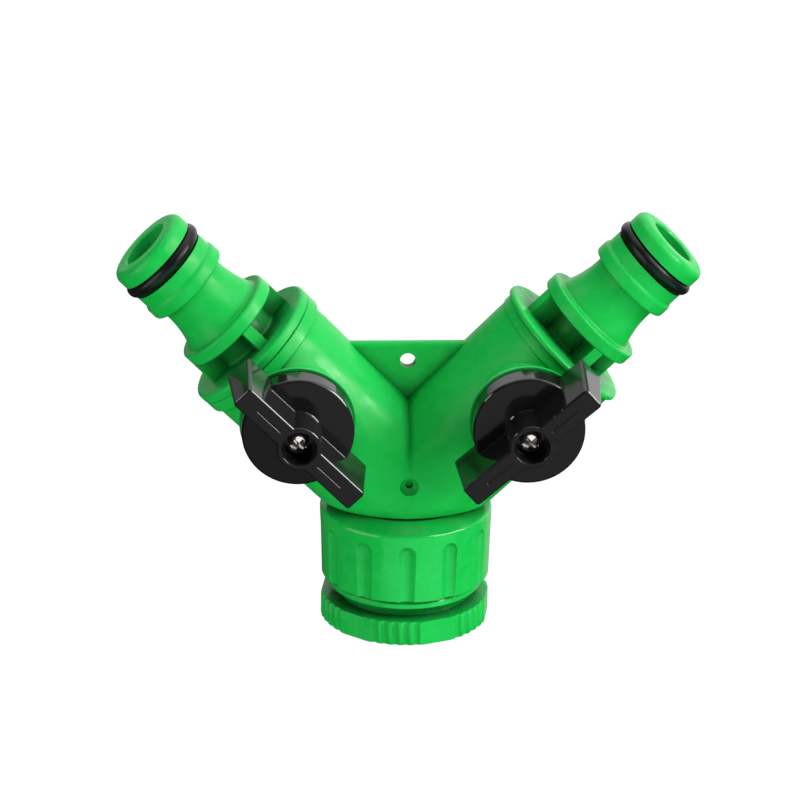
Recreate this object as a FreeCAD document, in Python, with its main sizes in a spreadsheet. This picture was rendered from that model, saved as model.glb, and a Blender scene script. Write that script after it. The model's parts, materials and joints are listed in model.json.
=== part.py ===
import FreeCAD, Part
import math
import os

import Sketcher
from FreeCAD import Placement, Rotation, Vector

# Hose splitter: an inlet with a swivel collar and a thread reducer below, two slanted arms above,
# each with a quarter-turn ball valve and a quick-connect nipple.
# The origin is the centre of the reducer's mouth. +Z is up, +X runs from the left nipple to the right
# one, and the knobs face -Y. All lengths are in millimetres.
#
# Three frames are used. The row frame is above. An arm frame starts where the two arms' axes meet,
# with +Z out along the arm. A valve frame starts on the arm's axis, with +Z out towards the knob and
# +X along the arm.

DIMENSIONS = {
    # the Y body
    "axis_height": 25.13,
    "arm_tilt": 45,
    "arm_radius_root": 12.2,
    "arm_radius_end": 12.8,
    "arm_back": 11,
    "arm_length": 44,
    "left_band_radius": 13.4,
    "left_band_start": 36.7,
    "left_arm_mouth": 39.2,
    "right_band_radius": 12.95,
    "right_band_start": 37.4,
    "right_arm_mouth": 39.5,
    "body_floor": 23.85,
    "web_top": 53.5,
    "web_half_width": 14,
    "web_thickness": 2,
    "web_foot": 35,
    "web_rounding": 0.8,
    "band_rounding": 0.25,
    "flash_bead": 0.3,
    "hanging_hole_height": 50,
    "hanging_hole_radius": 1.45,
    "dimple_height": 30.1,
    "dimple_radius": 1.6,
    "dimple_depth": 0.95,
    "dimple_pit_radius": 0.7,
    "dimple_pit_depth": 1.4,
    "waterway_radius": 6.5,
    "waterway_start": 7,
    "inlet_bore_top": 34.3,
    "chamber_radius": 10.2,
    "chamber_floor": 22.1,
    # the valves
    "valve_distance": 29.14,
    "boss_radius": 8,
    "boss_height": 18.6,
    "boss_blend": 0.8,
    "boss_plate_radius": 10.4,
    "boss_plate_low": 17.8,
    "stem_bore_radius": 4.05,
    "stem_radius": 4,
    "stem_shoulder_radius": 4.6,
    "stem_shoulder_low": 8.3,
    "stem_shoulder_high": 9,
    "stem_top": 24.4,
    "stem_square": 4.3,
    "stem_ring_low": 11.9,
    "stem_ring_high": 15.4,
    "stem_ring_centre": 3.42,
    "stem_ring_wire": 0.57,
    "stem_groove_width": 1.8,
    "tongue_width": 2.4,
    "tongue_length": 6.6,
    "tongue_low": 5.9,
    "ball_radius": 7.5,
    "ball_bore": 4.5,
    "seat_outer": 10.1,
    "seat_inner": 5,
    "seat_length": 2.1,
    "seat_gap": 0.06,
    "right_rest_angle": 3.5,
    "stop_lug_inner": 5.6,
    "stop_lug_outer": 7.9,
    "stop_lug_height": 2.6,
    "stop_lug_width": 2.6,
    # the knobs
    "knob_radius": 10.08,
    "knob_back": 18.85,
    "knob_face": 23.5,
    "hub_front": 31,
    "hub_radius": 4,
    "hub_foot_radius": 4.12,
    "hub_recess_radius": 3.15,
    "hub_recess_floor": 27.1,
    "wing_length": 30.26,
    "wing_width": 5.6,
    "wing_draft": 3.2,
    "wing_corner": 0.7,
    "knob_hollow_depth": 3,
    "knob_hollow_inner": 5.2,
    "knob_hollow_outer": 8.4,
    "screw_shank": 0.95,
    "screw_head": 1.98,
    "screw_head_height": 1.65,
    "screw_dome": 0.75,
    "screw_tip": 19.6,
    # the nipples
    "nipple_plug_radius": 10.15,
    "nipple_plug_start": 36.2,
    "nipple_bore": 4.55,
    "left_flange_radius": 13.45,
    "left_flange_end": 41,
    "right_flange_radius": 13.65,
    "right_flange_end": 40.6,
    "nipple_core_radius": 5.9,
    "nipple_collar_start": 45.4,
    "nipple_collar_end": 48,
    "left_collar_radius": 9.95,
    "right_collar_radius": 10.15,
    "nipple_waist_wide": 8.2,
    "nipple_waist_narrow": 6.75,
    "nipple_waist_arc": 18,
    "nipple_ridge_start": 56,
    "nipple_ridge_end": 59.2,
    "nipple_ridge_radius": 8.3,
    "nipple_land_radius": 7.9,
    "nipple_groove_start": 61.7,
    "nipple_groove_end": 64.5,
    "nipple_groove_radius": 5.9,
    "nipple_tip_radius": 8,
    "nipple_tip_end": 67.6,
    "nipple_tip_rounding": 1.5,
    "nipple_rib_width": 2.2,
    "left_rib_angle": 22,
    "right_rib_angle": 14,
    "nipple_ring_centre": 7.2,
    "nipple_ring_wire": 1.3,
    "nipple_ring_height": 63.1,
    # the swivel collar
    "collar_turn": -1.5,
    "collar_bore": 9.7,
    "collar_top": 23.5,
    "collar_shoulder_inner": 12.5,
    "collar_shoulder_outer": 15.85,
    "collar_shoulder_low": 21.85,
    "collar_ceiling": 20.9,
    "collar_hem_radius": 15.45,
    "collar_hem": 8.5,
    "collar_lip_radius": 14.2,
    "collar_floor": 6.6,
    "collar_thread_radius": 13.3,
    "flute_radius": 1.75,
    "flute_centre": 16.45,
    "flute_top": 18.1,
    "flute_count": 12,
    # the inlet tailpiece and washers
    "tailpiece_flange": 11.7,
    "tailpiece_bottom": 18.6,
    "tailpiece_flange_top": 20.7,
    "tailpiece_journal": 9.6,
    "tailpiece_spigot": 8.95,
    "tailpiece_socket": 9,
    "tailpiece_top": 28.2,
    "washer_outer": 12,
    "washer_inner": 7,
    "washer_height": 2,
    "reducer_washer_outer": 9.62,
    "reducer_washer_inner": 6.7,
    "reducer_washer_low": 10.5,
    # the thread reducer
    "rim_radius": 15.7,
    "rim_height": 4.57,
    "rim_bevel": 0.3,
    "rim_flat": 15.2,
    "rim_turn": -9,
    "rim_sides": 6,
    "knurl_count": 5,
    "knurl_pitch": 7.2,
    "knurl_radius": 0.85,
    "knurl_centre": 16,
    "neck_radius": 12.2,
    "neck_top": 6.3,
    "reducer_thread_radius": 13.22,
    "reducer_top": 16.6,
    "reducer_bore": 9.4,
    "reducer_bore_top": 10.45,
    "washer_seat_radius": 9.7,
    "washer_seat_top": 12.5,
    "reducer_throat": 6.5,
    "reducer_bevel": 0.8,
}

SIDES = {"left": -1, "right": 1}
NODES = []


class Size:
    """A number together with the sheet formula that gives it."""

    def __init__(self, value, formula):
        self.value = float(value)
        self.formula = formula

    @staticmethod
    def of(other):
        return other if isinstance(other, Size) else Size(other, repr(float(other)))

    def __add__(self, other):
        other = Size.of(other)
        return Size(self.value + other.value, f"({self.formula} + {other.formula})")

    def __sub__(self, other):
        other = Size.of(other)
        return Size(self.value - other.value, f"({self.formula} - {other.formula})")

    def __mul__(self, other):
        other = Size.of(other)
        return Size(self.value * other.value, f"({self.formula} * {other.formula})")

    def __neg__(self):
        return self * -1

    __radd__ = __add__
    __rmul__ = __mul__


class Sizes:
    """The sheet's cells as Size values: size.arm_tilt is the cell with the alias arm_tilt."""

    def __getattr__(self, alias):
        return Size(DIMENSIONS[alias], f"Dimensions.{alias}")

    def of(self, side, alias):
        """A dimension that differs between the left and right sides."""
        return getattr(self, f"{side}_{alias}")


size = Sizes()


def make_sheet(doc):
    sheet = doc.addObject("Spreadsheet::Sheet", "Dimensions")
    for row, (alias, value) in enumerate(DIMENSIONS.items(), start=1):
        sheet.set(f"A{row}", alias)
        sheet.set(f"B{row}", str(value))
        sheet.setAlias(f"B{row}", alias)
    doc.recompute()


def bind(feature, **sizes):
    """Sets each named property of the feature to its formula."""
    for name, length in sizes.items():
        feature.setExpression(name, Size.of(length).formula)


# Frames


def arm_frame(side):
    tilt = Rotation(Vector(0, 1, 0), SIDES[side] * size.arm_tilt.value)
    return Placement(Vector(0, 0, size.axis_height.value), tilt)


def valve_frame(side, turned=0.0):
    """Turned is how far the valve is closed from the arm's direction, in degrees."""
    seat = Placement(Vector(0, 0, size.valve_distance.value), Rotation())
    facing = Rotation(Vector(0, 0, 1), Vector(1, 0, 0), Vector(0, -1, 0), "ZXY")
    closing = Rotation(Vector(0, 0, 1), -turned)
    return arm_frame(side).multiply(seat).multiply(Placement(Vector(), facing.multiply(closing)))


def rest_frame(side):
    turned = size.right_rest_angle.value if side == "right" else 0.0
    return valve_frame(side, turned)


# Primitives and booleans


def solid(doc, kind, name, place=None, at=(0, 0, 0), **sizes):
    """A Part primitive whose own origin is at the point at, in the frame place."""
    feature = doc.addObject(f"Part::{kind}", name)
    bind(feature, **sizes)
    offset = [Size.of(n) for n in at]
    frame = place or Placement()
    feature.Placement = frame.multiply(Placement(Vector(*[n.value for n in offset]), Rotation()))
    return feature


def cylinder(doc, name, radius, low, high, place=None, x=0, y=0):
    low, high = Size.of(low), Size.of(high)
    return solid(doc, "Cylinder", name, place, (x, y, low), Radius=radius, Height=high - low)


def box(doc, name, low, high, place=None):
    low, high = [Size.of(n) for n in low], [Size.of(n) for n in high]
    length, width, height = (high[i] - low[i] for i in range(3))
    return solid(doc, "Box", name, place, low, Length=length, Width=width, Height=height)


def fuse(doc, name, shapes):
    joined = doc.addObject("Part::MultiFuse", name)
    joined.Shapes = shapes
    joined.Refine = True
    return joined


def cut(doc, name, base, tool):
    trimmed = doc.addObject("Part::Cut", name)
    trimmed.Base = base
    trimmed.Tool = tool
    trimmed.Refine = True
    return trimmed


def node(feature, name):
    """Marks the feature as a finished sub-part whose file is called name."""
    feature.Label = name
    NODES.append(feature)
    return feature


# PartDesign bodies


def new_body(doc, name, place):
    body = doc.addObject("PartDesign::Body", name)
    body.Placement = place
    return body


def origin_feature(body, role):
    return next(f for f in body.Origin.OriginFeatures if f.Role == role)


def new_sketch(body, name, plane, height=0):
    sketch = body.newObject("Sketcher::SketchObject", name)
    sketch.AttachmentSupport = [(origin_feature(body, plane), "")]
    sketch.MapMode = "FlatFace"
    bind(sketch, **{"AttachmentOffset.Base.z": height})
    return sketch


def fix_point(sketch, edge, end, x, y):
    """Holds one end of an edge at (x, y) from the sketch's origin."""
    for kind, place in (("DistanceX", x), ("DistanceY", y)):
        constraint = Sketcher.Constraint(kind, -1, 1, edge, end, place.value)
        index = sketch.addConstraint(constraint)
        sketch.setExpression(f"Constraints[{index}]", place.formula)


def arc_about(centre, radius, start, finish):
    """A counterclockwise arc between two points of the circle."""
    angles = [math.atan2(p.y - centre.y, p.x - centre.x) for p in (start, finish)]
    circle = Part.Circle(centre, Vector(0, 0, 1), radius)
    if angles[1] < angles[0]:
        angles[1] += 2 * math.pi
    return Part.ArcOfCircle(circle, *angles)


def arc_between(start, finish, radius):
    """The short arc from start to finish. A positive radius has its centre to the left of the way there."""
    chord = finish - start
    rise = math.sqrt(radius * radius - chord.Length ** 2 / 4)
    left = Vector(-chord.y, chord.x, 0).normalize() * math.copysign(1, radius)
    centre = (start + finish) * 0.5 + left * rise
    ends = (start, finish) if radius > 0 else (finish, start)
    return arc_about(centre, abs(radius), *ends)


def outline(sketch, corners):
    """Closes the corners into one loop. A corner is (x, y), or (x, y, radius) where an arc starts."""
    points = [(Size.of(c[0]), Size.of(c[1])) for c in corners]
    for edge, corner in enumerate(corners):
        here = Vector(points[edge][0].value, points[edge][1].value, 0)
        following = points[(edge + 1) % len(points)]
        there = Vector(following[0].value, following[1].value, 0)
        radius = Size.of(corner[2]) if len(corner) == 3 else None
        if radius:
            sketch.addGeometry(arc_between(here, there, radius.value), False)
        else:
            sketch.addGeometry(Part.LineSegment(here, there), False)
        forward = sketch.Geometry[edge].StartPoint.distanceToPoint(here) < 1e-6
        for end, place in zip((1, 2) if forward else (2, 1), (points[edge], following)):
            fix_point(sketch, edge, end, *place)
        if radius:
            outward = radius if radius.value > 0 else -radius
            index = sketch.addConstraint(Sketcher.Constraint("Radius", edge, outward.value))
            sketch.setExpression(f"Constraints[{index}]", outward.formula)
    return sketch


def add_axis(sketch, x):
    """A construction line parallel to the sketch's vertical axis, for a revolution about it."""
    x = Size.of(x)
    line = Part.LineSegment(Vector(x.value, 0, 0), Vector(x.value, 1, 0))
    edge = sketch.addGeometry(line, True)
    fix_point(sketch, edge, 1, x, Size.of(0))
    fix_point(sketch, edge, 2, x, Size.of(1))
    return (sketch, ["Axis0"])


def circle(sketch, radius, x=0, y=0):
    x, y, radius = Size.of(x), Size.of(y), Size.of(radius)
    ring = Part.Circle(Vector(x.value, y.value, 0), Vector(0, 0, 1), radius.value)
    edge = sketch.addGeometry(ring, False)
    fix_point(sketch, edge, 3, x, y)
    index = sketch.addConstraint(Sketcher.Constraint("Radius", edge, radius.value))
    sketch.setExpression(f"Constraints[{index}]", radius.formula)


def rectangle(sketch, low_x, low_y, high_x, high_y):
    first = len(sketch.Geometry)
    low_x, low_y, high_x, high_y = (Size.of(n) for n in (low_x, low_y, high_x, high_y))
    corners = [(low_x, low_y), (high_x, low_y), (high_x, high_y), (low_x, high_y)]
    for side, (x, y) in enumerate(corners):
        to_x, to_y = corners[(side + 1) % 4]
        line = Part.LineSegment(Vector(x.value, y.value, 0), Vector(to_x.value, to_y.value, 0))
        sketch.addGeometry(line, False)
        fix_point(sketch, first + side, 1, x, y)
        fix_point(sketch, first + side, 2, to_x, to_y)


def revolve(body, name, corners):
    """Turns a closed (radius, height) outline about the body's Z axis."""
    sketch = outline(new_sketch(body, f"{name}_outline", "XZ_Plane"), corners)
    feature = body.newObject("PartDesign::Revolution", name)
    feature.Profile = sketch
    feature.ReferenceAxis = (sketch, ["V_Axis"])
    feature.Angle = 360
    return feature


def pad(body, name, sketch, length, taper=0):
    feature = body.newObject("PartDesign::Pad", name)
    feature.Profile = sketch
    bind(feature, Length=length, TaperAngle=taper)
    return feature


def pocket(doc, body, name, sketch, depth, upward=True):
    """Cuts the sketch out of the body along +Z, or along -Z, and checks that it cut something."""
    doc.recompute()
    before = body.Shape.Volume
    feature = body.newObject("PartDesign::Pocket", name)
    feature.Profile = sketch
    feature.Reversed = upward
    bind(feature, Length=depth)
    doc.recompute()
    if body.Shape.Volume > before - 1e-6:
        raise ValueError(f"{name} cuts nothing out of {body.Name}")
    return feature


def around(doc, body, name, features, count):
    """Repeats the features around the body's Z axis."""
    pattern = body.newObject("PartDesign::PolarPattern", name)
    pattern.Originals = features
    pattern.Axis = (origin_feature(body, "Z_Axis"), [""])
    pattern.Angle = 360
    bind(pattern, Occurrences=count)
    body.Tip = pattern
    doc.recompute()
    return pattern


def ring_edges(shape, rings):
    """Names of the full circles about Z with these (radius, height) pairs."""
    names = []
    for index, edge in enumerate(shape.Edges, start=1):
        curve = edge.Curve
        if not isinstance(curve, Part.Circle) or abs(abs(curve.Axis.z) - 1) > 1e-6:
            continue
        on_axis = math.hypot(curve.Center.x, curve.Center.y) < 1e-6
        for radius, height in rings:
            near = abs(curve.Radius - radius.value) < 1e-3
            if on_axis and near and abs(curve.Center.z - height.value) < 1e-3:
                names.append(f"Edge{index}")
    return names


def level_edges(shape, height):
    """Numbers of the edges that lie in the plane z = height."""
    return [
        index for index, edge in enumerate(shape.Edges, start=1)
        if abs(edge.BoundBox.ZMin - height) < 1e-4 and abs(edge.BoundBox.ZMax - height) < 1e-4
    ]


def slanted_edges(shape, low, high):
    """Names of the edges that run from the plane z = low to the plane z = high."""
    return [
        f"Edge{index}" for index, edge in enumerate(shape.Edges, start=1)
        if abs(edge.BoundBox.ZMin - low) < 1e-4 and abs(edge.BoundBox.ZMax - high) < 1e-4
    ]


def circle_edges(shape):
    """Numbers of the circular edges."""
    return [n for n, edge in enumerate(shape.Edges, start=1) if isinstance(edge.Curve, Part.Circle)]


def rounded(doc, base, edges, radius):
    """Rounds the numbered edges of a Part feature."""
    fillet = doc.addObject("Part::Fillet", f"{base.Name}_rounded")
    fillet.Base = base
    fillet.Edges = [(edge, radius.value, radius.value) for edge in edges]
    return fillet


def round_edges(doc, body, name, edges, radius):
    base = body.Tip
    feature = body.newObject("PartDesign::Fillet", name)
    feature.Base = (base, edges)
    bind(feature, Radius=radius)
    doc.recompute()
    return feature


def round_rings(doc, body, name, rings, radius):
    doc.recompute()
    local = body.Tip.Shape
    pairs = [(Size.of(r), Size.of(z)) for r, z in rings]
    return round_edges(doc, body, name, ring_edges(local, pairs), radius)


# The Y body


def arm_half(doc, side):
    """One arm with its valve boss blended in, trimmed at the plane between the arms."""
    frame = arm_frame(side)
    grow = (size.arm_radius_end - size.arm_radius_root).value / size.arm_length.value
    root = size.arm_radius_root - size.arm_back * grow
    arm = solid(doc, "Cone", f"{side}_arm", frame, (0, 0, -size.arm_back),
                Radius1=root, Radius2=size.arm_radius_end, Height=size.arm_back + size.arm_length)
    boss = cylinder(doc, f"{side}_boss", size.boss_radius, 0, size.boss_height, valve_frame(side))
    joined = fuse(doc, f"{side}_arm_and_boss", [arm, boss])
    doc.recompute()
    blended = rounded(doc, joined, foot_edges(joined.Shape, size.boss_height.value), size.boss_blend)
    reach = 60
    span = (-reach, 0) if side == "left" else (0, reach)
    half = box(doc, f"{side}_half", (span[0], -reach, -10), (span[1], reach, 90))
    trimmed = doc.addObject("Part::Common", f"{side}_arm_trimmed")
    trimmed.Base = blended
    trimmed.Tool = half
    return trimmed


def foot_edges(shape, boss_height):
    """Numbers of the curved edges where the boss meets the arm."""
    return [
        number for number, edge in enumerate(shape.Edges, start=1)
        if not isinstance(edge.Curve, (Part.Circle, Part.Line))
        and edge.BoundBox.YMin > -boss_height + 1 and edge.BoundBox.YMax < 0
    ]


def body_outside(doc):
    solids = []
    for side in SIDES:
        frame = arm_frame(side)
        mouth, radius = size.of(side, "arm_mouth"), size.of(side, "band_radius")
        band = cylinder(doc, f"{side}_band", radius, size.of(side, "band_start"), mouth, frame)
        doc.recompute()
        band = rounded(doc, band, circle_edges(band.Shape), size.band_rounding)
        plate = cylinder(doc, f"{side}_boss_plate", size.boss_plate_radius, size.boss_plate_low,
                         size.boss_height, valve_frame(side))
        solids += [arm_half(doc, side), band, plate, stop_lug(doc, side)]
    bead = solid(doc, "Torus", "right_flash_bead", arm_frame("right"), (0, 0, size.right_arm_mouth),
                 Radius1=size.right_band_radius + 0.05, Radius2=size.flash_bead)
    web = box(doc, "web", (-size.web_half_width, 0, size.web_foot),
              (size.web_half_width, size.web_thickness, size.web_top))
    doc.recompute()
    web = rounded(doc, web, level_edges(web.Shape, size.web_top.value), size.web_rounding)
    return fuse(doc, "body_outside", solids + [bead, web])


def stop_lug(doc, side):
    """The lug on the boss that the knob's two stops meet at the open and closed ends."""
    half = size.stop_lug_width * 0.5
    low = (size.stop_lug_inner, -half, size.boss_height - 1)
    high = (size.stop_lug_outer, half, size.boss_height + size.stop_lug_height)
    return box(doc, f"{side}_stop_lug", low, high, valve_frame(side, 45.0))


def body_inside(doc):
    """Everything that is cut away: the waterways, chambers, stem bores, socket and open ends."""
    tools = []
    reach = 60
    for side in SIDES:
        frame, mouth = arm_frame(side), size.of(side, "arm_mouth")
        tools += [
            cylinder(doc, f"{side}_waterway", size.waterway_radius, size.waterway_start,
                     size.chamber_floor + 1, frame),
            cylinder(doc, f"{side}_chamber", size.chamber_radius, size.chamber_floor, mouth + 1, frame),
            cylinder(doc, f"{side}_mouth_trim", 30, mouth, mouth + 20, frame),
            cylinder(doc, f"{side}_stem_bore", size.stem_bore_radius, 4, reach, valve_frame(side)),
        ]
    flat = Placement(Vector(), Rotation(Vector(1, 0, 0), 90))
    bulge = (size.dimple_radius.value ** 2 + size.dimple_depth.value ** 2) / 2 / size.dimple_depth.value
    crease = (size.dimple_height - size.axis_height) * math.sin(math.radians(size.arm_tilt.value))
    front = math.sqrt(size.arm_radius_root.value ** 2 - crease.value ** 2)
    tools += [
        cylinder(doc, "socket", size.tailpiece_socket, size.body_floor - 1, size.tailpiece_top),
        cylinder(doc, "inlet_bore", size.waterway_radius, size.body_floor, size.inlet_bore_top),
        box(doc, "floor_trim", (-reach, -reach, -5), (reach, reach, size.body_floor)),
        cylinder(doc, "hanging_hole", size.hanging_hole_radius, -10, 10, flat,
                 y=size.hanging_hole_height),
        solid(doc, "Sphere", "dimple", None,
              (0, -(front + bulge - size.dimple_depth.value), size.dimple_height), Radius=bulge),
        solid(doc, "Cylinder", "dimple_pit",
              flat.multiply(Placement(Vector(0, size.dimple_height.value, 0), Rotation())),
              (0, 0, size.dimple_pit_depth * -1 + front), Radius=size.dimple_pit_radius, Height=5),
    ]
    return fuse(doc, "body_inside", tools)


def make_y_body(doc):
    rough = cut(doc, "y_body_rough", body_outside(doc), body_inside(doc))
    doc.recompute()
    node(rough, "y_body")


# The nipples


def nipple_outline(mouth, flange_radius, flange_end, collar_radius):
    s = size
    return [
        (s.nipple_bore, s.nipple_plug_start),
        (s.nipple_plug_radius, s.nipple_plug_start),
        (s.nipple_plug_radius, mouth),
        (flange_radius, mouth),
        (flange_radius, flange_end),
        (s.nipple_core_radius, flange_end),
        (s.nipple_core_radius, s.nipple_collar_start),
        (collar_radius, s.nipple_collar_start),
        (collar_radius, s.nipple_collar_end),
        (s.nipple_waist_wide, s.nipple_collar_end, -s.nipple_waist_arc),
        (s.nipple_waist_narrow, s.nipple_ridge_start),
        (s.nipple_ridge_radius, s.nipple_ridge_start + 0.5),
        (s.nipple_ridge_radius, s.nipple_ridge_end - 0.5),
        (s.nipple_land_radius, s.nipple_ridge_end),
        (s.nipple_land_radius, s.nipple_groove_start),
        (s.nipple_groove_radius, s.nipple_groove_start),
        (s.nipple_groove_radius, s.nipple_groove_end),
        (s.nipple_tip_radius, s.nipple_groove_end),
        (s.nipple_tip_radius, s.nipple_tip_end - s.nipple_tip_rounding, s.nipple_tip_rounding),
        (s.nipple_tip_radius - s.nipple_tip_rounding, s.nipple_tip_end),
        (s.nipple_bore + 0.3, s.nipple_tip_end),
        (s.nipple_bore, s.nipple_tip_end - 0.3),
    ]


def make_nipple(doc, side):
    s = size
    spin = Rotation(Vector(0, 0, 1), DIMENSIONS[f"{side}_rib_angle"])
    body = new_body(doc, f"{side}_nipple_body", arm_frame(side).multiply(Placement(Vector(), spin)))
    mouth, flange_end = s.of(side, "arm_mouth"), s.of(side, "flange_end")
    flange_radius, collar_radius = s.of(side, "flange_radius"), s.of(side, "collar_radius")
    revolve(body, "turned", nipple_outline(mouth, flange_radius, flange_end, collar_radius))
    round_rings(doc, body, "joint_rounding", [(flange_radius, mouth)], 0.2)
    round_rings(doc, body, "flange_rounding", [(flange_radius, flange_end)], 0.6)
    round_rings(doc, body, "core_root", [(s.nipple_core_radius, flange_end)], 0.6)
    round_rings(doc, body, "collar_rounding", [(collar_radius, s.nipple_collar_start),
                                               (collar_radius, s.nipple_collar_end)], 0.45)
    round_rings(doc, body, "waist_root", [(s.nipple_waist_wide, s.nipple_collar_end)], 0.5)
    round_rings(doc, body, "ridge_rounding", [(s.nipple_ridge_radius, s.nipple_ridge_start + 0.5),
                                              (s.nipple_land_radius, s.nipple_ridge_end)], 0.5)
    round_rings(doc, body, "ridge_slope", [(s.nipple_ridge_radius, s.nipple_ridge_end - 0.5)], 0.8)
    add_ribs(doc, body, flange_end, collar_radius)
    node(body, f"{side}_nipple")


def add_ribs(doc, body, flange_end, collar_radius):
    """Four ribs between the flange and the collar, flush with the collar's rim."""
    half = size.nipple_rib_width * 0.5
    sketch = new_sketch(body, "rib_outline", "XY_Plane", flange_end - 0.1)
    rectangle(sketch, size.nipple_core_radius - 0.5, -half, collar_radius - 0.05, half)
    rib = pad(body, "rib", sketch, size.nipple_collar_start - flange_end + 0.2)
    around(doc, body, "ribs", [rib], 4)


def make_nipple_ring(doc, side):
    ring = solid(doc, "Torus", f"{side}_o_ring_torus", arm_frame(side), (0, 0, size.nipple_ring_height),
                 Radius1=size.nipple_ring_centre, Radius2=size.nipple_ring_wire)
    node(ring, f"{side}_nipple_o_ring")


# The valves


def make_seats(doc, side):
    """Soft rings on both sides of the ball, hollowed to the ball's shape."""
    frame = arm_frame(side)
    ends = {
        "inlet": (size.chamber_floor + 0.05, size.chamber_floor + 0.05 + size.seat_length),
        "outlet": (size.nipple_plug_start - 0.05 - size.seat_length, size.nipple_plug_start - 0.05),
    }
    for end, (low, high) in ends.items():
        name = f"{side}_{end}_seat"
        ring = cylinder(doc, f"{name}_ring", size.seat_outer, low, high, frame)
        bore = cylinder(doc, f"{name}_bore", size.seat_inner, low - 1, high + 1, frame)
        room = solid(doc, "Sphere", f"{name}_room", frame, (0, 0, size.valve_distance),
                     Radius=size.ball_radius + size.seat_gap)
        node(cut(doc, f"{name}_cut", ring, fuse(doc, f"{name}_hollow", [bore, room])), name)


def make_ball(doc, side):
    frame = rest_frame(side)
    along = frame.multiply(Placement(Vector(), Rotation(Vector(0, 1, 0), 90)))
    ball = solid(doc, "Sphere", f"{side}_ball_sphere", frame, Radius=size.ball_radius)
    bore = cylinder(doc, f"{side}_ball_bore", size.ball_bore, -10, 10, along)
    half_width, half_length = size.tongue_width * 0.5 + 0.05, size.tongue_length * 0.5 + 0.1
    slot = box(doc, f"{side}_ball_slot", (-half_length, -half_width, size.tongue_low - 0.05),
               (half_length, half_width, size.ball_radius + 1), frame)
    node(cut(doc, f"{side}_ball_cut", ball, fuse(doc, f"{side}_ball_tools", [bore, slot])),
         f"{side}_valve_ball")


def stem_outline():
    s = size
    half = s.stem_groove_width * 0.5
    floor = s.stem_ring_centre - s.stem_ring_wire - 0.02
    corners = [
        (s.screw_shank, s.screw_tip - 0.4),
        (0, s.screw_tip - 0.4),
        (0, s.stem_shoulder_low),
        (s.stem_shoulder_radius, s.stem_shoulder_low),
        (s.stem_shoulder_radius, s.stem_shoulder_high),
        (s.stem_radius, s.stem_shoulder_high),
    ]
    for centre in (s.stem_ring_low, s.stem_ring_high):
        corners += [
            (s.stem_radius, centre - half),
            (floor, centre - half),
            (floor, centre + half),
            (s.stem_radius, centre + half),
        ]
    return corners + [
        (s.stem_radius, s.boss_height),
        (s.screw_shank + 0.6, s.boss_height),
        (s.screw_shank + 0.6, s.stem_top),
        (s.screw_shank, s.stem_top),
    ]


def make_stem(doc, side):
    """A grooved stem with a tongue for the ball's slot and a square end for the knob."""
    body = new_body(doc, f"{side}_stem_body", rest_frame(side))
    revolve(body, "barrel", stem_outline())
    half_width, half_length = size.tongue_width * 0.5, size.tongue_length * 0.5
    tongue = new_sketch(body, "tongue_outline", "XY_Plane", size.tongue_low)
    rectangle(tongue, -half_length, -half_width, half_length, half_width)
    pad(body, "tongue", tongue, size.stem_shoulder_low - size.tongue_low + 0.1)
    square = new_sketch(body, "square_outline", "XY_Plane", size.boss_height)
    half = size.stem_square * 0.5
    rectangle(square, -half, -half, half, half)
    circle(square, size.screw_shank)
    pad(body, "square", square, size.stem_top - size.boss_height)
    node(body, f"{side}_valve_stem")


def make_stem_rings(doc, side):
    for place, height in (("lower", size.stem_ring_low), ("upper", size.stem_ring_high)):
        ring = solid(doc, "Torus", f"{side}_{place}_stem_torus", rest_frame(side), (0, 0, height),
                     Radius1=size.stem_ring_centre, Radius2=size.stem_ring_wire)
        node(ring, f"{side}_stem_{place}_o_ring")


# The knobs


def disc_outline():
    s = size
    return [
        (0, s.knob_back),
        (s.knob_radius - 0.2, s.knob_back),
        (s.knob_radius, s.knob_back + 0.2),
        (s.knob_radius, s.knob_face - 0.5, 0.5),
        (s.knob_radius - 0.5, s.knob_face),
        (s.hub_foot_radius + 0.15, s.knob_face),
        (s.hub_foot_radius, s.knob_face + 0.15),
        (s.hub_radius, s.hub_front - 0.3, 0.3),
        (s.hub_radius - 0.3, s.hub_front),
        (0, s.hub_front),
    ]


def make_knob(doc, side):
    s = size
    body = new_body(doc, f"{side}_knob_body", rest_frame(side))
    wing = new_sketch(body, "wing_outline", "XY_Plane", s.knob_back)
    half_length, half_width = s.wing_length * 0.5, s.wing_width * 0.5
    rectangle(wing, -half_length, -half_width, half_length, half_width)
    pad(body, "wing", wing, s.hub_front - s.knob_back, s.wing_draft * -1)
    doc.recompute()
    corners = slanted_edges(body.Tip.Shape, s.knob_back.value, s.hub_front.value)
    round_edges(doc, body, "corner_rounding", corners, s.wing_corner)
    front = [f"Edge{n}" for n in level_edges(body.Tip.Shape, s.hub_front.value)]
    round_edges(doc, body, "front_rounding", front, 0.35)
    revolve(body, "disc", disc_outline())
    recess = new_sketch(body, "recess_outline", "XY_Plane", s.hub_recess_floor)
    circle(recess, s.hub_recess_radius)
    pocket(doc, body, "recess", recess, 6)
    screw_hole = new_sketch(body, "screw_hole_outline", "XY_Plane", s.knob_back)
    circle(screw_hole, s.screw_shank + 0.1)
    pocket(doc, body, "screw_hole", screw_hole, s.hub_recess_floor - s.knob_back + 1)
    cut_hollow(doc, body)
    cut_wing_grooves(doc, body)
    node(body, f"{side}_knob")


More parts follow.
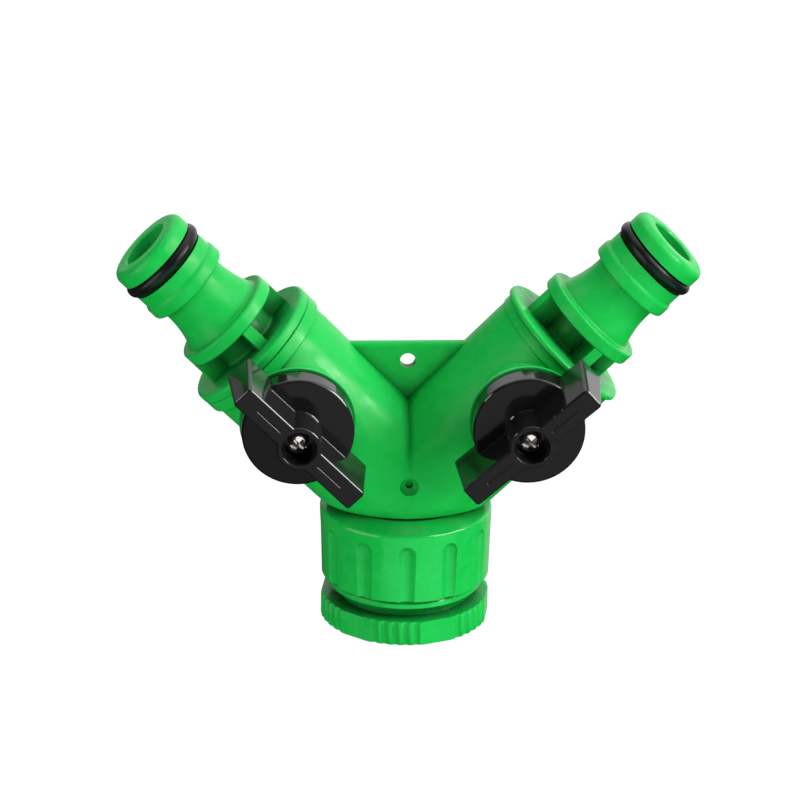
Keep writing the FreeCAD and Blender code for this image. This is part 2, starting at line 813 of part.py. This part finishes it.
def cut_hollow(doc, body):
    """The square socket for the stem, and the ring-shaped hollow between the knob's two stops."""
    s = size
    half = s.stem_square * 0.5 + 0.05
    square = new_sketch(body, "square_socket_outline", "XY_Plane", s.knob_back - 1)
    rectangle(square, -half, -half, half, half)
    pocket(doc, body, "square_socket", square, s.stem_top - s.knob_back + 1.1)
    sketch = new_sketch(body, "hollow_outline", "XY_Plane", s.knob_back)
    free_half = 45 + math.degrees(math.asin(s.stop_lug_width.value / 2 / s.stop_lug_inner.value))
    start, finish = math.radians(-free_half - 1), math.radians(free_half + 1)
    ring_sector(sketch, s.knob_hollow_inner, s.knob_hollow_outer, start, finish)
    pocket(doc, body, "hollow", sketch, s.knob_hollow_depth)


def ring_sector(sketch, inner, outer, start, finish):
    """A closed sector of a ring between two angles, in radians."""
    corners = [(radius, angle) for radius, angle in
               ((inner, start), (outer, start), (outer, finish), (inner, finish))]
    points = [Vector(r.value * math.cos(a), r.value * math.sin(a), 0) for r, a in corners]
    sketch.addGeometry(Part.LineSegment(points[0], points[1]), False)
    sketch.addGeometry(arc_about(Vector(), outer.value, points[1], points[2]), False)
    sketch.addGeometry(Part.LineSegment(points[2], points[3]), False)
    sketch.addGeometry(arc_about(Vector(), inner.value, points[0], points[3]), False)
    for edge, end, (radius, angle) in ((0, 1, corners[0]), (0, 2, corners[1]),
                                       (2, 1, corners[2]), (2, 2, corners[3])):
        fix_point(sketch, edge, end, radius * math.cos(angle), radius * math.sin(angle))
    for edge, start_point, end_point in ((1, (0, 2), (2, 1)), (3, (0, 1), (2, 2))):
        sketch.addConstraint(Sketcher.Constraint("Coincident", edge, 1, *start_point))
        sketch.addConstraint(Sketcher.Constraint("Coincident", edge, 2, *end_point))
    for edge, radius in ((1, outer), (3, inner)):
        index = sketch.addConstraint(Sketcher.Constraint("Radius", edge, radius.value))
        sketch.setExpression(f"Constraints[{index}]", radius.formula)


def cut_wing_grooves(doc, body):
    """A shallow straight groove along the front of each half of the wing."""
    half_width, depth = 0.13, 0.07
    near, far = size.hub_radius + 0.6, size.hub_radius + 6.4
    sketch = new_sketch(body, "wing_groove_outline", "XY_Plane", size.hub_front - depth)
    rectangle(sketch, near, -half_width, far, half_width)
    rectangle(sketch, -far, -half_width, -near, half_width)
    pocket(doc, body, "wing_grooves", sketch, 2)


def make_screw(doc, side):
    """A round-headed cross-recess screw."""
    s = size
    body = new_body(doc, f"{side}_screw_body", rest_frame(side))
    rim = s.hub_recess_floor + s.screw_head_height - s.screw_dome
    dome = (s.screw_head.value ** 2 + s.screw_dome.value ** 2) / 2 / s.screw_dome.value
    revolve(body, "turned", [
        (0, s.screw_tip),
        (s.screw_shank, s.screw_tip + 0.9),
        (s.screw_shank, s.hub_recess_floor),
        (s.screw_head, s.hub_recess_floor),
        (s.screw_head, rim, dome),
        (0, s.hub_recess_floor + s.screw_head_height),
    ])
    cross = new_sketch(body, "cross_outline", "XY_Plane", s.hub_recess_floor + 0.75)
    wide, narrow = 1.15, 0.26
    plus = [(narrow, wide), (-narrow, wide), (-narrow, narrow), (-wide, narrow), (-wide, -narrow),
            (-narrow, -narrow), (-narrow, -wide), (narrow, -wide), (narrow, -narrow),
            (wide, -narrow), (wide, narrow), (narrow, narrow)]
    outline(cross, plus)
    pocket(doc, body, "cross", cross, 3)
    node(body, f"{side}_knob_screw")


# The inlet


def make_swivel_collar(doc):
    s = size
    turn = Rotation(Vector(0, 0, 1), s.collar_turn.value)
    body = new_body(doc, "swivel_collar_body", Placement(Vector(), turn))
    revolve(body, "turned", [
        (s.collar_bore, s.collar_ceiling),
        (s.collar_thread_radius, s.collar_ceiling),
        (s.collar_thread_radius, s.collar_floor),
        (s.collar_lip_radius, s.collar_floor),
        (s.collar_lip_radius, s.collar_hem - 0.9),
        (s.collar_lip_radius - 0.3, s.collar_hem - 0.5),
        (s.collar_lip_radius - 0.3, s.collar_hem),
        (s.collar_hem_radius, s.collar_hem),
        (s.collar_shoulder_outer, s.collar_shoulder_low),
        (s.collar_shoulder_inner, s.collar_top),
        (s.collar_bore, s.collar_top),
    ])
    round_rings(doc, body, "shoulder_rounding", [(s.collar_shoulder_outer, s.collar_shoulder_low)], 0.8)
    round_rings(doc, body, "lip_rounding", [(s.collar_lip_radius, s.collar_floor),
                                            (s.collar_hem_radius, s.collar_hem)], 0.3)
    sketch = new_sketch(body, "flute_outline", "XZ_Plane")
    outline(sketch, [
        (s.flute_centre, s.collar_floor - 2),
        (s.flute_centre, s.flute_top + s.flute_radius, s.flute_radius),
        (s.flute_centre - s.flute_radius, s.flute_top),
        (s.flute_centre - s.flute_radius, s.collar_floor - 2),
    ])
    flute = body.newObject("PartDesign::Groove", "flute")
    flute.Profile = sketch
    flute.ReferenceAxis = add_axis(sketch, s.flute_centre)
    flute.Angle = 360
    doc.recompute()
    around(doc, body, "flutes", [flute], s.flute_count)
    node(body, "swivel_collar")


def make_tailpiece(doc):
    s = size
    body = new_body(doc, "inlet_tailpiece_body", Placement())
    revolve(body, "turned", [
        (s.waterway_radius, s.tailpiece_bottom),
        (s.tailpiece_flange, s.tailpiece_bottom),
        (s.tailpiece_flange, s.tailpiece_flange_top),
        (s.tailpiece_journal, s.tailpiece_flange_top),
        (s.tailpiece_journal, s.body_floor - 0.02),
        (s.tailpiece_spigot, s.body_floor - 0.02),
        (s.tailpiece_spigot, s.tailpiece_top - 0.05),
        (s.waterway_radius, s.tailpiece_top - 0.05),
    ])
    node(body, "inlet_tailpiece")


def make_washer(doc, name, inner, outer, low):
    body = new_body(doc, f"{name}_body", Placement())
    revolve(body, "ring", [(inner, low), (outer, low), (outer, low + size.washer_height - 0.05),
                           (inner, low + size.washer_height - 0.05)])
    node(body, name)


def make_thread_reducer(doc):
    s = size
    turn = Rotation(Vector(0, 0, 1), s.rim_turn.value)
    body = new_body(doc, "thread_reducer_body", Placement(Vector(), turn))
    revolve(body, "turned", [
        (s.reducer_bore, 0),
        (s.rim_radius - s.rim_bevel, 0),
        (s.rim_radius, s.rim_bevel),
        (s.rim_radius, s.rim_height - s.rim_bevel),
        (s.rim_radius - s.rim_bevel, s.rim_height),
        (s.neck_radius, s.rim_height),
        (s.neck_radius, s.neck_top),
        (s.reducer_thread_radius, s.neck_top + 1),
        (s.reducer_thread_radius, s.reducer_top - s.reducer_bevel),
        (s.reducer_thread_radius - s.reducer_bevel, s.reducer_top - 0.03),
        (s.reducer_throat, s.reducer_top - 0.03),
        (s.reducer_throat, s.washer_seat_top),
        (s.washer_seat_radius, s.washer_seat_top),
        (s.washer_seat_radius, s.reducer_bore_top),
        (s.reducer_bore, s.reducer_bore_top),
    ])
    flat = new_sketch(body, "flat_outline", "XY_Plane", -1)
    rectangle(flat, s.rim_flat, -8, s.rim_radius + 2, 8)
    flat_cut = pocket(doc, body, "flat", flat, s.rim_height + 1.5)
    knurl = new_sketch(body, "knurl_outline", "XY_Plane", -1)
    for place in range(int(s.knurl_count.value)):
        step = place - (s.knurl_count.value - 1) / 2
        angle = math.radians(180 / s.rim_sides.value + step * s.knurl_pitch.value)
        circle(knurl, s.knurl_radius, s.knurl_centre * math.cos(angle), s.knurl_centre * math.sin(angle))
    knurl_cut = pocket(doc, body, "knurl", knurl, s.rim_height + 1.5)
    around(doc, body, "rim_pattern", [flat_cut, knurl_cut], s.rim_sides)
    node(body, "thread_reducer")


# The whole splitter


def check(doc):
    """Stops if any object failed or any sub-part isn't one or more valid solids."""
    for feature in doc.Objects:
        if "Invalid" in feature.State or "Error" in feature.State:
            raise ValueError(f"{feature.Name} failed: {feature.State}")
    for feature in NODES:
        shape = feature.Shape
        if shape.isNull() or not shape.isValid() or not shape.Solids:
            raise ValueError(f"{feature.Label} has no valid solid")


def build():
    doc = FreeCAD.newDocument("hose_splitter")
    make_sheet(doc)
    make_y_body(doc)
    for side in SIDES:
        make_nipple(doc, side)
        make_nipple_ring(doc, side)
        make_seats(doc, side)
        make_ball(doc, side)
        make_stem(doc, side)
        make_stem_rings(doc, side)
        make_knob(doc, side)
        make_screw(doc, side)
    make_swivel_collar(doc)
    make_tailpiece(doc)
    make_washer(doc, "inlet_washer", size.washer_inner, size.washer_outer, size.reducer_top)
    make_thread_reducer(doc)
    make_washer(doc, "reducer_washer", size.reducer_washer_inner, size.reducer_washer_outer,
                size.reducer_washer_low)
    doc.recompute()
    check(doc)
    os.makedirs("parts", exist_ok=True)
    for feature in NODES:
        feature.Shape.exportStep(f"parts/{feature.Label}.step")
        print(feature.Label, len(feature.Shape.Solids), round(feature.Shape.Volume, 1))


build()
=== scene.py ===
import json
import math

import bpy
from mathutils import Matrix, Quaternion, Vector


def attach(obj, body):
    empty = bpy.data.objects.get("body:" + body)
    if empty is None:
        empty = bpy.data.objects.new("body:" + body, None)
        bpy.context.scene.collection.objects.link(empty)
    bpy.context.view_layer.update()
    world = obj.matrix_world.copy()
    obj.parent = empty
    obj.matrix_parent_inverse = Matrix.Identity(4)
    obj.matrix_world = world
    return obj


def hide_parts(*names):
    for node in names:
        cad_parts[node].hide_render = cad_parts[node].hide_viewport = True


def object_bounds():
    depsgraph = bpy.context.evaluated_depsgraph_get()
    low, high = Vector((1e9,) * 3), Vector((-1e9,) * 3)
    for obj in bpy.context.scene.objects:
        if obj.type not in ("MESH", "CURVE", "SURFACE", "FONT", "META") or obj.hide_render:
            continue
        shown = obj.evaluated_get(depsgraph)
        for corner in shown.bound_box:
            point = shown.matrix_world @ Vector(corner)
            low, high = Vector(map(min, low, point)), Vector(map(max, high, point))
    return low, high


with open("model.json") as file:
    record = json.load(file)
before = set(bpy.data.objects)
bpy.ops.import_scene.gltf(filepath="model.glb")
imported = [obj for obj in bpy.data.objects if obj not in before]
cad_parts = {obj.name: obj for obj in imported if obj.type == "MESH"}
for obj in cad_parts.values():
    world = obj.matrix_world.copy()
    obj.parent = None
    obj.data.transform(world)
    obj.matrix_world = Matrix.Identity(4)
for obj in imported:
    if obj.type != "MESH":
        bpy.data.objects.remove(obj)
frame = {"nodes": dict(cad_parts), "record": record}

CAD_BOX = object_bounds()
NODES = frame["nodes"]
SHOWN = dict(NODES)  # the object that is seen for each node
MM = 0.001
PITCH = 1.814  # one turn of the 3/4 inch and 1/2 inch pipe threads, in millimetres
AIM = Vector((0, 0, 0.04))  # the point that the lights face


def place_object(name, data):
    """Makes an object at the origin and puts it in the scene."""
    placed = bpy.data.objects.new(name, data)
    bpy.context.scene.collection.objects.link(placed)
    return placed


# Material nodes


class Graph:
    """A material's node tree, built by short calls."""

    def __init__(self, name):
        self.material = bpy.data.materials.new(name)
        self.material.use_nodes = True
        self.tree = self.material.node_tree
        self.tree.nodes.clear()

    def add(self, kind, inputs=None, **settings):
        node = self.tree.nodes.new(f"ShaderNode{kind}")
        for key, value in settings.items():
            setattr(node, key, value)
        for key, value in (inputs or {}).items():
            self.feed(node, key, value)
        return node

    def feed(self, node, key, value):
        if isinstance(value, bpy.types.NodeSocket):
            self.tree.links.new(value, node.inputs[key])
        else:
            node.inputs[key].default_value = value

    def place(self):
        return self.add("TexCoord").outputs["Object"]

    def noise(self, scale, detail=3.0, roughness=0.5):
        """Noise with features about 1 / scale metres wide."""
        inputs = {"Vector": self.place(), "Scale": scale, "Detail": detail, "Roughness": roughness}
        return self.add("TexNoise", inputs).outputs["Fac"]

    def spread(self, factor, low, high, start=0.3, stop=0.7):
        """The factor from start to stop becomes a number from low to high."""
        inputs = {"Value": factor, "From Min": start, "From Max": stop, "To Min": low, "To Max": high}
        return self.add("MapRange", inputs).outputs["Result"]

    def blend(self, factor, first, second):
        mix = self.add("Mix", data_type="RGBA")
        self.feed(mix, 0, factor)
        self.feed(mix, 6, first)
        self.feed(mix, 7, second)
        return mix.outputs[2]

    def bump(self, height, distance, strength=1.0, under=None):
        inputs = {"Height": height, "Distance": distance, "Strength": strength}
        if under:
            inputs["Normal"] = under
        return self.add("Bump", inputs).outputs["Normal"]

    def painted_fold_shade(self):
        """Where the valley between the two arms on the knobs' side gets painted shade: 1 in the valley, 0
        away from it.
        """
        half_width = 1.1 * MM
        foot, full_height = 31.5 * MM, 37.0 * MM
        front_edge, back_edge = -2.0 * MM, -1.0 * MM
        split = self.add("SeparateXYZ", {"Vector": self.place()})
        aside = self.add("Math", {0: split.outputs["X"]}, operation="ABSOLUTE").outputs[0]
        close = self.spread(aside, 1.0, 0.0, 0.0, half_width)
        raised = self.spread(split.outputs["Z"], 0.0, 1.0, foot, full_height)
        front = self.spread(split.outputs["Y"], 1.0, 0.0, front_edge, back_edge)
        both = self.add("Math", {0: close, 1: raised}, operation="MULTIPLY").outputs[0]
        return self.add("Math", {0: both, 1: front}, operation="MULTIPLY").outputs[0]

    def recess_shade_mask(self, reach, closed, open_):
        """Where painted shade goes: 1 deep in a hollow narrower than reach, 0 on open surfaces."""
        free = self.add("AmbientOcclusion", {"Distance": reach}, samples=8).outputs["AO"]
        return self.spread(free, 1.0, 0.0, closed, open_)

    def surface(self, **inputs):
        shader = self.add("BsdfPrincipled", inputs)
        out = self.add("OutputMaterial")
        self.tree.links.new(shader.outputs["BSDF"], out.inputs["Surface"])
        return self.material


def colour(red, green, blue):
    return (red, green, blue, 1.0)


# Materials


def green_plastic(name, edge=0.0, painted_fold_shade=False, gloss=0.22, rough=(0.20, 0.44), reach=4.0):
    """Glossy moulded plastic.

    Edge is how far the corners look rounded off, and reach is how wide the painted shade in
    hollows spreads, both in millimetres. Rough is the range of the roughness.
    """
    green, light_green = colour(0.007, 0.48, 0.068), colour(0.010, 0.55, 0.082)
    # The first colour is whitish, for scuffs and partly a painted sheen; the second is painted shade for
    # hollows and the third painted shade for the valley between the arms.
    scuff_and_sheen_colour, painted_recess_shade, fold_shade_colour = colour(0.055, 0.60, 0.150), colour(0.001, 0.08, 0.010), colour(0.004, 0.27, 0.038)
    g = Graph(name)
    flow = g.noise(60.0, 3.0)
    base = g.blend(g.spread(flow, 0.0, 1.0), green, light_green)
    soft_edge = g.add("Bevel", {"Radius": edge * MM}, samples=6).outputs["Normal"] if edge else None
    # A whitish mottle: partly scuffs in the plastic, partly a painted sheen.
    scuff_and_sheen = g.spread(g.noise(420.0, 5.0, 0.68), 0.0, 0.30, 0.42, 0.72)
    base = g.blend(scuff_and_sheen, base, scuff_and_sheen_colour)
    # Painted shade: hollows are darkened in the colour.
    base = g.blend(g.recess_shade_mask(reach * MM, 0.20, 0.85), base, painted_recess_shade)
    if painted_fold_shade:
        # Painted shade along the valley between the two arms.
        base = g.blend(g.painted_fold_shade(), base, fold_shade_colour)
    waves = g.bump(g.noise(220.0, 2.0), 0.05 * MM, 0.6, soft_edge)
    grain = g.bump(g.noise(2600.0, 2.0), 0.010 * MM, 0.3, waves)
    polish = g.spread(g.noise(300.0, 4.0), *rough)
    return g.surface(**{"Base Color": base, "Roughness": polish, "Normal": grain,
                        "Subsurface Weight": 0.05, "Subsurface Scale": 0.8 * MM,
                        "Subsurface Radius": (0.2, 1.0, 0.4), "Specular IOR Level": gloss})


def black_plastic(name):
    g = Graph(name)
    soft_edge = g.add("Bevel", {"Radius": 0.25 * MM}, samples=6).outputs["Normal"]
    waves = g.bump(g.noise(180.0, 2.0), 0.03 * MM, 0.5, soft_edge)
    base = g.blend(g.noise(90.0), colour(0.006, 0.006, 0.0062), colour(0.008, 0.008, 0.0082))
    rough = g.spread(g.noise(500.0, 4.0), 0.05, 0.12)
    return g.surface(**{"Base Color": base, "Roughness": rough, "Normal": waves, "IOR": 1.46})


def rubber(name):
    g = Graph(name)
    grain = g.bump(g.noise(3500.0, 3.0), 0.01 * MM, 0.4)
    base = g.blend(g.noise(400.0), colour(0.004, 0.004, 0.004), colour(0.009, 0.009, 0.009))
    rough = g.spread(g.noise(700.0, 3.0), 0.24, 0.34)
    return g.surface(**{"Base Color": base, "Roughness": rough, "Normal": grain, "IOR": 1.32})


def plated_steel(name):
    g = Graph(name)
    brushed = g.bump(g.noise(2500.0, 3.0), 0.01 * MM, 0.4)
    rough = g.spread(g.noise(900.0, 3.0), 0.08, 0.20)
    base = g.blend(g.noise(700.0), colour(0.52, 0.50, 0.46), colour(0.74, 0.72, 0.68))
    return g.surface(**{"Base Color": base, "Metallic": 1.0, "Roughness": rough, "Normal": brushed})


def inner_plastic(name, light, dark):
    g = Graph(name)
    base = g.blend(g.noise(200.0), light, dark)
    grain = g.bump(g.noise(1500.0, 2.0), 0.01 * MM, 0.5)
    rough = g.spread(g.noise(600.0), 0.35, 0.55)
    return g.surface(**{"Base Color": base, "Roughness": rough, "Normal": grain})


def dress():
    """Gives every CAD node the finish of its material slot."""
    finishes = {
        "green_body": green_plastic("green_body_plastic", painted_fold_shade=True, gloss=0.19),
        "green_nipple": green_plastic("green_nipple_plastic", 0.20, reach=7.0),
        "green_collar": green_plastic("green_collar_plastic", 0.25, gloss=0.45, rough=(0.13, 0.22)),
        "green_reducer": green_plastic("green_reducer_plastic", 0.15),
        "tailpiece_green": green_plastic("tailpiece_plastic"),
        "black_knob": black_plastic("knob_plastic"),
        "screw_steel": plated_steel("screw_plating"),
        "black_rubber": rubber("seal_rubber"),
        "valve_plastic": inner_plastic("acetal", colour(0.75, 0.75, 0.72), colour(0.68, 0.68, 0.65)),
        "seat_plastic": inner_plastic("seat_white", colour(0.82, 0.82, 0.82), colour(0.76, 0.76, 0.76)),
    }
    for entry in frame["record"]["subparts"]:
        mesh = NODES[entry["node"]].data
        mesh.materials.clear()
        mesh.materials.append(finishes[entry["material_slot"]])


# Threads


def helix(name, low, high, outer, inner, outer_half, inner_half):
    """A right-handed ridge whose section is a trapezoid, wound between two heights, in millimetres."""
    steps_per_turn = 48
    rings = int((high - low) / PITCH * steps_per_turn)
    section = [(outer, -outer_half), (outer, outer_half), (inner, inner_half), (inner, -inner_half)]
    points, faces = [], []
    for ring in range(rings + 1):
        height = low + ring * PITCH / steps_per_turn
        angle = 2 * math.pi * height / PITCH
        for radius, rise in section:
            point = (radius * math.cos(angle), radius * math.sin(angle), height + rise)
            points.append(tuple(n * MM for n in point))
    for ring in range(rings):
        for corner in range(4):
            here, after = 4 * ring + corner, 4 * ring + (corner + 1) % 4
            faces.append((here, here + 4, after + 4, after))
    faces += [(0, 1, 2, 3), tuple(4 * rings + corner for corner in (3, 2, 1, 0))]
    mesh = bpy.data.meshes.new(name)
    mesh.from_pydata(points, [], faces)
    mesh.validate()
    return place_object(name, mesh)


def threaded_reducer():
    """Stands for the CAD reducer, whose walls are plain. It has the same shape, ready to be threaded."""
    piece = place_object("threaded_reducer", NODES["thread_reducer"].data.copy())
    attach(piece, "reducer")
    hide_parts("thread_reducer")
    SHOWN["thread_reducer"] = piece
    return piece


def cut_thread(piece, body, name, sizes):
    """Cuts a helical groove into a piece with a hidden tool that moves with it."""
    tool = helix(name, **sizes)
    tool.hide_render = True
    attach(tool, body)
    groove = piece.modifiers.new(name, "BOOLEAN")
    groove.operation = "DIFFERENCE"
    groove.object = tool
    groove.solver = "EXACT"


def thread_parts():
    """The reducer's two threads, cut as grooves, and the collar's thread, added as a ridge."""
    male = dict(low=6.9, high=16.4, outer=13.5, inner=12.1, outer_half=0.84, inner_half=0.14)
    inlet = dict(low=-1.0, high=9.6, outer=10.4, inner=9.2, outer_half=0.12, inner_half=0.80)
    ridge = dict(low=8.2, high=15.4, outer=13.32, inner=12.25, outer_half=0.66, inner_half=0.12)
    piece = threaded_reducer()
    cut_thread(piece, "reducer", "male_thread_tool", male)
    cut_thread(piece, "reducer", "inlet_thread_tool", inlet)
    crest = helix("collar_inner_thread", **ridge)
    crest.data.materials.append(NODES["swivel_collar"].data.materials[0])
    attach(crest, "collar")


# Stage


def white_floor():
    """White paper, low enough for the reducer to be unscrewed above it."""
    reach, clearance = 4.0, 0.5 * MM
    just_white = 1.05
    mesh = bpy.data.meshes.new("floor")
    corners = [(-reach, -reach, 0), (reach, -reach, 0), (reach, reach, 0), (-reach, reach, 0)]
    mesh.from_pydata(corners, [], [(0, 1, 2, 3)])
    floor = place_object("floor", mesh)
    joints = {joint["name"]: joint for joint in frame["record"]["behaviour"]["joints"]}
    floor.location.z = CAD_BOX[0].z - joints["reducer_travel"]["range_m"][1] - clearance
    g = Graph("floor_paper")
    glow = g.add("Emission", {"Color": colour(1, 1, 1), "Strength": just_white})
    out = g.add("OutputMaterial")
    g.tree.links.new(glow.outputs["Emission"], out.inputs["Surface"])
    mesh.materials.append(g.material)
    floor.visible_diffuse = False
    floor.visible_glossy = False
    floor.visible_shadow = False


def studio_world():
    """A room that is bright behind, above and to the right of the object, and dim elsewhere."""
    bright_side = (0.40, 0.80, 0.45)
    world = bpy.data.worlds.new("studio")
    bpy.context.scene.world = world
    world.use_nodes = True
    nodes, links = world.node_tree.nodes, world.node_tree.links
    nodes.clear()
    direction = nodes.new("ShaderNodeTexCoord").outputs["Generated"]
    toward_light = nodes.new("ShaderNodeVectorMath")
    toward_light.operation = "DOT_PRODUCT"
    toward_light.inputs[1].default_value = bright_side
    links.new(direction, toward_light.inputs[0])
    ramp = nodes.new("ShaderNodeMapRange")
    ramp.interpolation_type = "SMOOTHSTEP"
    links.new(toward_light.outputs["Value"], ramp.inputs["Value"])
    for key, value in (("From Min", 0.45), ("From Max", 0.82), ("To Min", 0.06), ("To Max", 1.25)):
        ramp.inputs[key].default_value = value
    sky = nodes.new("ShaderNodeBackground")
    links.new(ramp.outputs["Result"], sky.inputs["Strength"])
    out = nodes.new("ShaderNodeOutputWorld")
    links.new(sky.outputs["Background"], out.inputs["Surface"])


def softbox(name, place, size, power, only=(), tint=(1, 1, 1)):
    """A rectangular light that faces AIM. If only names some nodes, it lights just those."""
    light = bpy.data.lights.new(name, "AREA")
    light.shape = "RECTANGLE"
    light.size, light.size_y = size
    light.energy = power
    light.color = tint
    lamp = place_object(name, light)
    lamp.location = Vector(place)
    lamp.rotation_mode = "QUATERNION"
    lamp.rotation_quaternion = (AIM - lamp.location).to_track_quat("-Z", "Y")
    if only:
        lit = bpy.data.collections.new(f"{name}_lit")
        for node in only:
            lit.objects.link(SHOWN[node])
        lamp.light_linking.receiver_collection = lit


def light_studio():
    """Wide soft lights for most nodes, and lights of their own for the collar, knobs and screws."""
    studio_world()
    knobs, screws = ("left_knob", "right_knob"), ("left_knob_screw", "right_knob_screw")
    others = [node for node in NODES if node not in knobs + screws]
    not_collar = [node for node in NODES if node != "swivel_collar"]
    softbox("key", (0.72, -0.40, 0.62), (0.8, 0.8), 8.0, not_collar)
    softbox("collar_key", (0.62, -0.50, 0.48), (0.45, 0.35), 5.0, ("swivel_collar",))
    softbox("fill", (-0.80, -0.45, 0.12), (0.8, 0.8), 4.4, others)
    softbox("bounce", (0.25, -0.75, -0.38), (1.8, 1.2), 8.8, others, (0.3, 1.0, 0.62))
    softbox("window", (0.80, -0.20, 0.42), (0.20, 0.20), 2.2)
    softbox("top", (0.0, 0.10, 0.85), (1.0, 0.6), 2.2, not_collar)
    softbox("knob_window", (0.80, -0.20, 0.42), (0.9, 0.45), 23.0, knobs)
    softbox("knob_left", (-0.80, -0.28, 0.46), (0.25, 0.20), 3.0, knobs)
    softbox("knob_front", (0.05, -0.85, -0.35), (1.2, 0.8), 0.9, knobs)
    softbox("screw_light", (0.15, -0.70, 0.30), (0.9, 0.7), 2.6, screws)


def photo_camera():
    """The camera fitted to the photo: it circles the middle, then slides in the picture's plane."""
    raised, leftward, roll = (math.radians(angle) for angle in (22.487, 2.983, 0.797))
    middle, distance = Vector((0, 0, 0.045)), 0.881
    slide = Vector((-1.363 * MM, -2.534 * MM, 0))
    data = bpy.data.cameras.new("camera")
    data.sensor_width = 36.0
    data.lens = 217.2
    data.clip_end = 20.0
    camera = place_object("camera", data)
    back = Vector((-math.sin(leftward) * math.cos(raised),
                   -math.cos(leftward) * math.cos(raised),
                   math.sin(raised)))
    level = (-back).to_track_quat("-Z", "Y")
    turn = level @ Quaternion((0, 0, 1), roll)
    camera.rotation_mode = "QUATERNION"
    camera.rotation_quaternion = turn
    camera.location = middle + back * distance + turn @ slide
    bpy.context.scene.camera = camera


def plain_colours():
    """Shows the colours as they are, with no film look."""
    bpy.context.scene.view_settings.view_transform = "Standard"


dress()
thread_parts()
white_floor()
light_studio()
photo_camera()
plain_colours()
